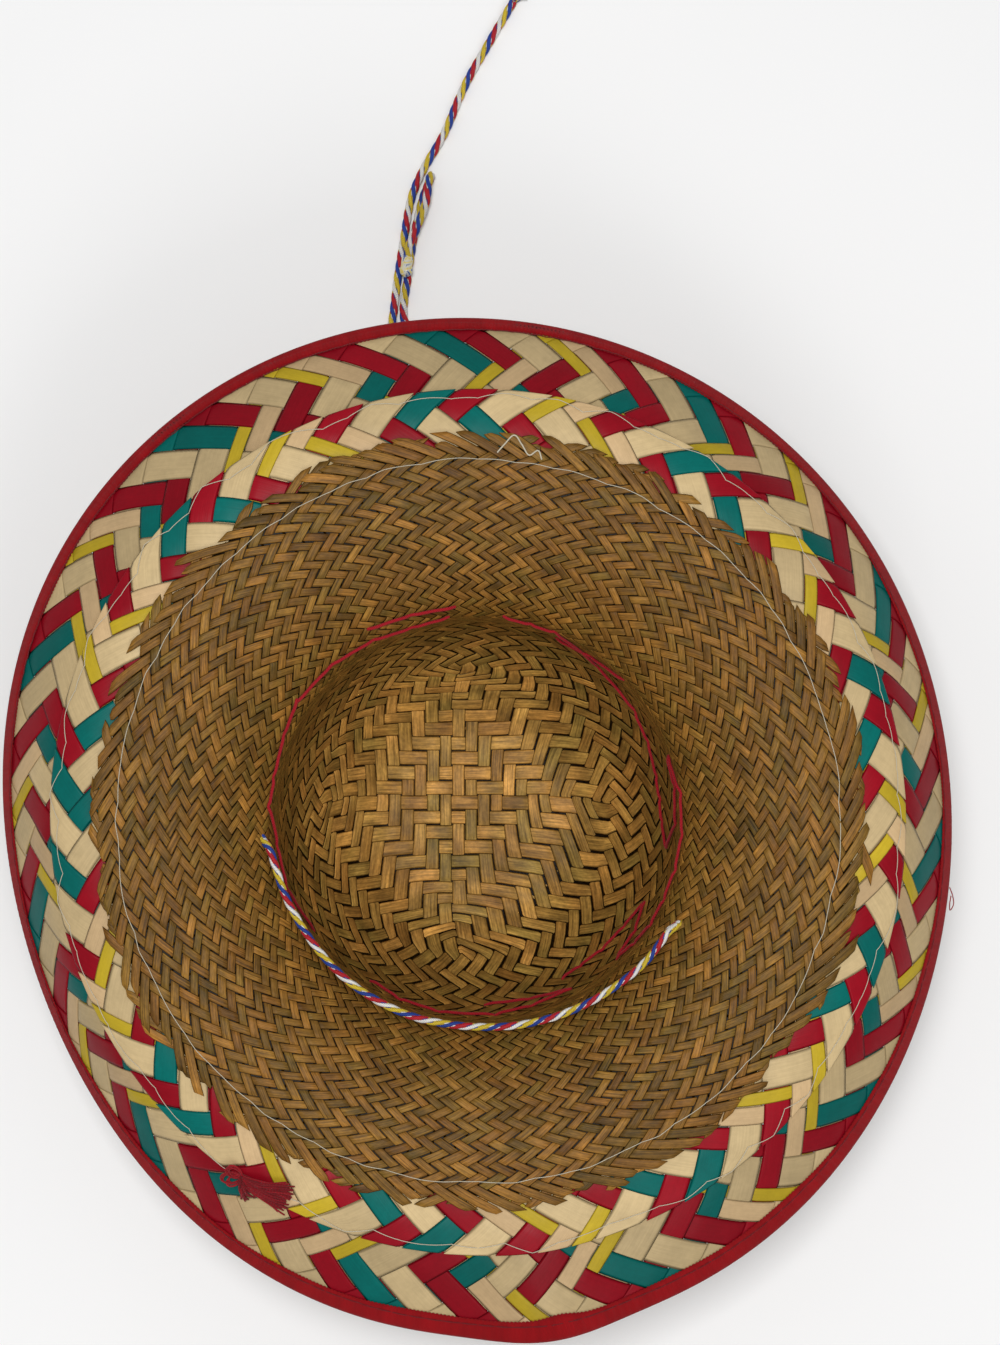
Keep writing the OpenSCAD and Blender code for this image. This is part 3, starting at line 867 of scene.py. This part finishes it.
# The outer plait's colours are painted at 0.82 as shade on its downturned lean.
outer = plait(77, 194.8, 66 * mm, 8.8 * mm, 6, 3, -4.25 * mm, 0.82)
add_piece("outer_plait", outer, dyed_palm, "palm_dyed", "outer_braid")

# %% [markdown]
# ## The red tape
# A woven tape is folded over the cut edge of the outer plait and stitched through. Its section
# is a flattened U with thickness, carried round the rim; the edge on the head's side waves in
# and out a little at every stitch.

# %% Tape
def tape_finish():
    """Red cotton tape: fine diagonal ribs and slow patches from the UV map, over a dye that is a
    tenth darker along the fold.
    """
    material, tree, shader = new_finish(
        "edge_tape", Roughness=0.85, Sheen_Weight=0.05, Specular_IOR_Level=0.15
    )
    uv = add(tree, "UVMap", uv_map="UVMap").outputs[0]
    place = add(tree, "Mapping", {"Vector": uv, "Scale": (900, 900, 1)}).outputs[0]
    numbers = {"Vector": place, "Scale": 1.0, "Distortion": 1.2, "Detail": 2.0}
    ribs = add(tree, "TexWave", numbers, bands_direction="DIAGONAL").outputs["Fac"]
    spot = add(tree, "Mapping", {"Vector": uv, "Scale": (160, 60, 1)}).outputs[0]
    patch = add(tree, "TexNoise", {"Vector": spot, "Scale": 1.0, "Detail": 4.0}).outputs[0]
    tone = times(tree, scaled(tree, ribs, 0, 1, 0.72, 1.1), scaled(tree, patch, 0.3, 0.7, 0.86, 1.12))
    coloured(tree, shader, tone, ribs, 0.6, 0.0003)
    return material


def tape_section():
    """Closed outline of the folded tape as (s, depth) in mm: the outside of the U from its
    upper edge round the rim to its lower edge, then the inside back again."""
    bow = np.radians(np.linspace(90, -90, 9))
    out_s = np.concatenate([[63, 65, 67, 69], 70.6 + 2.0 * np.cos(bow), [69, 67, 65, 63]])
    out_d = np.concatenate(
        [[-3.0, -2.7, -2.7, -2.75], -4.25 + 1.45 * np.sin(bow), [-5.75, -5.8, -5.8, -5.5]]
    )
    in_s = np.concatenate([[63.1, 66, 68], 69.9 + 1.0 * np.cos(bow[1::2]), [68, 66, 63.1]])
    in_d = np.concatenate([[-3.4, -3.3, -3.3], -4.25 + 0.75 * np.sin(bow[1::2]), [-5.2, -5.2, -5.1]])
    return np.concatenate([out_s, in_s[::-1]]), np.concatenate([out_d, in_d[::-1]])


def tape_mesh():
    """The section at each angle. The upper edge waves at the stitches, and where the tape's two
    ends overlap the fold is wider."""
    count = 2400
    s, d = tape_section()
    angle = np.linspace(0, 2 * np.pi, count, endpoint=False)[:, None]
    upper = ((s < 68) & (d > -4.2))[None]
    stitch = 0.3 * np.cos(angle * 800) + 0.4 * np.sin(angle * 9 + 1) + 0.3 * np.sin(angle * 23)
    stitch = stitch - 1.6 * np.cos(angle - 1.6 * np.pi)
    move = np.where(upper, stitch, 0.0)
    lap = np.exp(-(((np.degrees(angle) - 279.5) / 2.2) ** 2))
    puff = np.where(d[None] > -3.0, 0.35 * lap + 0.1 * np.cos(angle * 400), 0.0)
    inward = s[None] + move - 2.0 * lap * upper
    points, _ = hat(angle, ragged_u + inward * mm, (d[None] + puff) * mm)
    size = len(s)
    place = np.arange(count * size).reshape(count, size)
    nxt = np.roll(place, -1, axis=0)
    side, nside = np.roll(place, -1, axis=1), np.roll(nxt, -1, axis=1)
    quads = np.stack([place, nxt, nside, side], axis=-1).reshape(-1, 4)
    around = np.broadcast_to(angle * 0.25, (count, size))
    outline = np.cumsum(np.hypot(np.gradient(s), np.gradient(d)))
    across = np.broadcast_to(outline[None] * mm, (count, size))
    fold = np.exp(-(((s - 72) / 1.2) ** 2))[None, :, None]
    dye = srgb(146, 8, 16) * (1 - 0.1 * fold) * np.ones((count, size, 1))
    return {
        "points": points.reshape(-1, 3), "quads": quads, "tris": np.zeros((0, 3), int),
        "uv": np.stack([around, across], axis=-1).reshape(-1, 2),
        "dye": dye.reshape(-1, 3), "own": np.full(count * size, 0.5),
    }


add_piece("rim_tape", [tape_mesh()], tape_finish(), "edge_tape", "edge_binding")

# %% [markdown]
# ## Sewing threads
# The tape is held by a running line of short stitches. Two seams of white thread join the
# weave to the first plait and the first plait to the second. A stitch line is a yarn whose
# depth rises over the palm and dips into it, following a wave of the angle.

# %% Stitch lines
def sewn(angle, s, high, d, dye):
    """A thread along (angle, s) at the given height above the head's side."""
    centre, normal = hat(angle, ragged_u + s, high)
    return yarns(centre[None], normal[None], d / 2, d / 2 * 0.8, dye, 0.3, 6)


def hand_seam(s, sway, stitch, base, rise, d, dye, side_stitch=0.0):
    """A seam all the way round. Needle places lie a stitch apart, each moved in or out by its
    own random share of the sway; the thread is straight between them and lowest at them."""
    holes = np.arange(0, 360, stitch)
    off = rng.uniform(-1, 1, len(holes)) * sway
    off = off + side_stitch * (rng.random(len(holes)) < 0.3)
    degrees = np.arange(0, 360, stitch / 9)
    place = s + np.interp(degrees, holes, off, period=360)
    high = base + rise * np.sin(np.pi * (degrees / stitch % 1)) ** 0.6
    return sewn(np.radians(degrees), place, high, d, dye)


white = srgb(214, 204, 180)
tape_thread = hand_seam(64.2 * mm, 0.2 * mm, 2, -2.9 * mm, 0.45 * mm, 0.6 * mm, srgb(120, 14, 22))
add_piece("tape_stitches", [tape_thread], yarn_finish, "red_yarn", "binding_stitching")
body_seam = hand_seam(-9.5 * mm, 0.9 * mm, 3, -0.5 * mm, 0.55 * mm, 0.42 * mm, white)
add_piece("body_seam", [body_seam], thread_finish, "white_thread", "body_seam_thread")
plait_seam = hand_seam(22.5 * mm, 1.6 * mm, 3.6, -2.3 * mm, 0.8 * mm, 0.42 * mm, white, 4 * mm)
add_piece("plait_seam", [plait_seam], thread_finish, "white_thread", "braid_seam_thread")

# %% [markdown]
# A loop of the same thread stands loose on the far side.

# %% Loose loop
def through(points):
    """A smooth line through (angle in degrees, meridian mm, height mm) points, as arrays."""
    p = np.array(points, float)
    scale = np.array([2.0, 1, 1])
    line, _ = smooth_line(p * scale, 0.6 * mm)
    line = line / mm / scale
    return np.radians(line[:, 0]), line[:, 1] * mm, line[:, 2] * mm


def laid(points, d, dye, sides=6):
    """A yarn over the hat through the given places."""
    angle, u, high = through(points)
    centre, normal = hat(angle, u, high)
    return yarns(centre[None], normal[None], d / 2, d / 2 * 0.85, dye, rng.random(1), sides)


ragged = ragged_u / mm
loop = laid(
    [
        (87, ragged - 6, -0.2), (86, ragged - 2, 0.6), (84.6, ragged + 3, 0.6),
        (83.4, ragged - 1, 0.5), (82, ragged - 6, 0.7), (80.8, ragged - 3, 0.6),
        (80, ragged - 7, -0.2),
    ],
    0.8 * mm, white,
)
add_piece("loose_thread_loop", [loop], thread_finish, "white_thread", "loose_seam_thread")

# %% [markdown]
# ## Red yarn round the crown
# Long running stitches of red yarn mark the base of the crown. Each run is given by the places
# where the needle went through; between them the yarn lies on the weave, and at them it dips.

# %% Yarn stitches
yarn_red = srgb(168, 14, 30)
yarn_runs = [
    [(96, 207), (108, 208), (120, 211)],
    [(98, 199), (109, 197), (120, 202), (133, 206), (147, 208)],
    [(146, 209), (156, 205), (168, 202)],
    [(168, 202), (176, 203), (187, 193), (199, 193), (214, 165)],
    [(236, 152), (246, 159), (258, 159), (275, 157)],
    [(272, 134), (286, 137), (299, 151), (286, 153), (275, 158)],
    [(315, 161), (325, 151), (334, 137), (324, 128), (314, 126), (305, 124), (298, 126)],
    [
        (379, 179), (370, 177), (359, 167), (352, 147), (360, 135), (367, 134), (374, 135),
        (385, 142), (395, 150),
    ],
    [
        (379, 184), (368, 197), (356, 197), (346, 195), (337, 190), (329, 186), (322, 172),
        (315, 161),
    ],
    [(67, 172), (56, 174), (44, 191)],
    [(83, 199), (75, 196), (68, 196), (52, 160), (35, 150)],
]


def stitched_run(run, side):
    """A run with a dip at each needle hole: the yarn's height is its seat plus a rounded rise
    between holes. Side is 1 inside the crown and -1 outside."""
    p = np.array(run, float)
    places = [(p[0, 0], p[0, 1], 0.0)]
    for a, b in zip(p[:-1], p[1:]):
        places += [(*(a * 0.84 + b * 0.16), 0.9), (*(a + b) / 2, 1.0), (*(a * 0.16 + b * 0.84), 0.9)]
        places += [(*b, 0.35)]
    places[-1] = (*p[-1], 0.0)
    seat = -0.55 if side > 0 else -1.5
    return laid([(a, u, seat + side * 1.25 * h) for a, u, h in places], 1.9 * mm, yarn_red, 8)


inside = [stitched_run(run, 1) for run in yarn_runs]
add_piece("crown_yarn", inside, yarn_finish, "red_yarn", "crown_yarn_inside")
run_ends = [run[-1] for run in yarn_runs[:8]]
outside_runs = [[(angle, u), (angle + 5, u + 1), (angle + 10, u)] for angle, u in run_ends]
add_piece(
    "crown_yarn_back", [stitched_run(run, -1) for run in outside_runs], yarn_finish, "red_yarn",
    "crown_yarn_outside",
)

# %% [markdown]
# A knot of the yarn on the first plait ends in a small tuft, and one end of red thread stands
# out of the rim.

# %% Tuft and thread end
def tuft(angle0, s0):
    """Yarns from one knot, in the plane of the brim: loops that leave and come back on one
    side, and a long fan of ends on the other. Each end runs out along its own heading, rises
    on half a wave and droops to the plait; loops are closed ovals leaning back."""
    knot, normal = hat(np.radians(angle0), ragged_u + s0, -1.0 * mm)
    right = unit(np.cross([0, 1.0, 0], normal))
    up = np.cross(normal, right)
    parts = []
    for count, low, high, turn_from, turn_to in ((70, 22, 28, -40, -10), (14, 8, 14, -100, -50)):
        t = np.linspace(0, 1, 14)[None, :, None]
        reach = rng.uniform(low, high, (count, 1, 1)) * mm
        turn = np.radians(rng.uniform(turn_from, turn_to, (count, 1, 1)))
        bend = turn + rng.uniform(-0.12, 0.12, (count, 1, 1)) * t
        flat = right * np.cos(bend) + up * np.sin(bend)
        rise = rng.uniform(0.2, 3.6, (count, 1, 1)) * np.sin(np.pi * t) * mm + 0.4 * mm
        wig = np.cross(flat, normal) * np.sin(t * 9 + turn * 40) * 0.35 * mm
        root = rng.uniform(-1.6, 1.6, (count, 1, 1)) * up * mm
        line = knot + root + flat * reach * t + normal * rise + wig
        dye = yarn_red * rng.uniform(0.4, 0.85, (count, 1, 1))
        outward = np.broadcast_to(normal, line.shape)
        parts.append(yarns(line, outward, 0.5 * mm, 0.42 * mm, dye, rng.random(count), 6))
    count = 9
    t = np.linspace(0, 1, 24)[None, :, None] * 2 * np.pi
    heading = np.radians(rng.uniform(120, 215, (count, 1, 1)))
    size = rng.uniform(5, 10, (count, 1, 1)) * mm
    away = right * np.cos(heading) + up * np.sin(heading)
    out_share = (1 - np.cos(t)) / 2
    line = knot + away * size * out_share + np.cross(normal, away) * size * 0.32 * np.sin(t)
    line = line + normal * (0.6 + rng.uniform(0.5, 4, (count, 1, 1)) * out_share) * mm
    dye = yarn_red * rng.uniform(0.7, 1.1, (count, 1, 1))
    outward = np.broadcast_to(normal, line.shape)
    parts.append(yarns(line, outward, 0.5 * mm, 0.45 * mm, dye, rng.random(count), 6))
    return parts


add_piece("red_tuft", tuft(236.3, 24.5 * mm), yarn_finish, "red_yarn", "yarn_tuft")
curl = laid(
    [
        (352, ragged + 71, -2.2), (351, ragged + 74, -1.6), (350, ragged + 76, -1.8),
        (349.3, ragged + 74.5, -2.4), (350, ragged + 72.5, -1.9), (351, ragged + 71.6, -1.2),
    ],
    0.6 * mm, yarn_red,
)
add_piece("rim_thread_curl", [curl], yarn_finish, "red_yarn", "rim_thread_end")

# %% [markdown]
# ## Floor and light
# A plain pale floor, a soft light overhead, a weaker one from the near side and an even world
# around keep shadows short and soft.

# %% Studio
def studio_floor():
    """A square sheet just under the hat."""
    mesh = bpy.data.meshes.new("floor")
    mesh.from_pydata([(-6, -6, 0), (6, -6, 0), (6, 6, 0), (-6, 6, 0)], [], [(0, 1, 2, 3)])
    floor = bpy.data.objects.new("floor", mesh)
    bpy.context.scene.collection.objects.link(floor)
    material, tree, shader = new_finish("floor_paper", Roughness=0.9, Specular_IOR_Level=0.1)
    place = add(tree, "TexCoord").outputs["Object"]
    grain = add(tree, "TexNoise", {"Vector": place, "Scale": 3.0}).outputs[0]
    ramp = add(tree, "ValToRGB", {0: grain})
    ramp.color_ramp.elements[0].color = (0.9, 0.9, 0.9, 1)
    ramp.color_ramp.elements[1].color = (0.94, 0.94, 0.94, 1)
    tree.links.new(ramp.outputs[0], shader.inputs["Base Color"])
    mesh.materials.append(material)


def soft_light(name, place, size, power):
    """A square light that looks at the hat."""
    lamp = bpy.data.lights.new(name, "AREA")
    lamp.size = size
    lamp.energy = power
    light = bpy.data.objects.new(name, lamp)
    light.location = place
    toward = unit(np.array([0, 0, 0.1]) - np.array(place))
    light.rotation_mode = "QUATERNION"
    light.rotation_quaternion = Vector(toward).to_track_quat("-Z", "Y")
    bpy.context.scene.collection.objects.link(light)


studio_floor()
soft_light("overhead", (-0.12, 0.2, 2.7), 0.6, 38)
soft_light("window", (0.5, -1.4, 1.9), 1.0, 9)
world = bpy.data.worlds.new("room")
world.use_nodes = True
world.node_tree.nodes["Background"].inputs[0].default_value = (1, 1, 1, 1)
world.node_tree.nodes["Background"].inputs[1].default_value = 0.42
bpy.context.scene.world = world
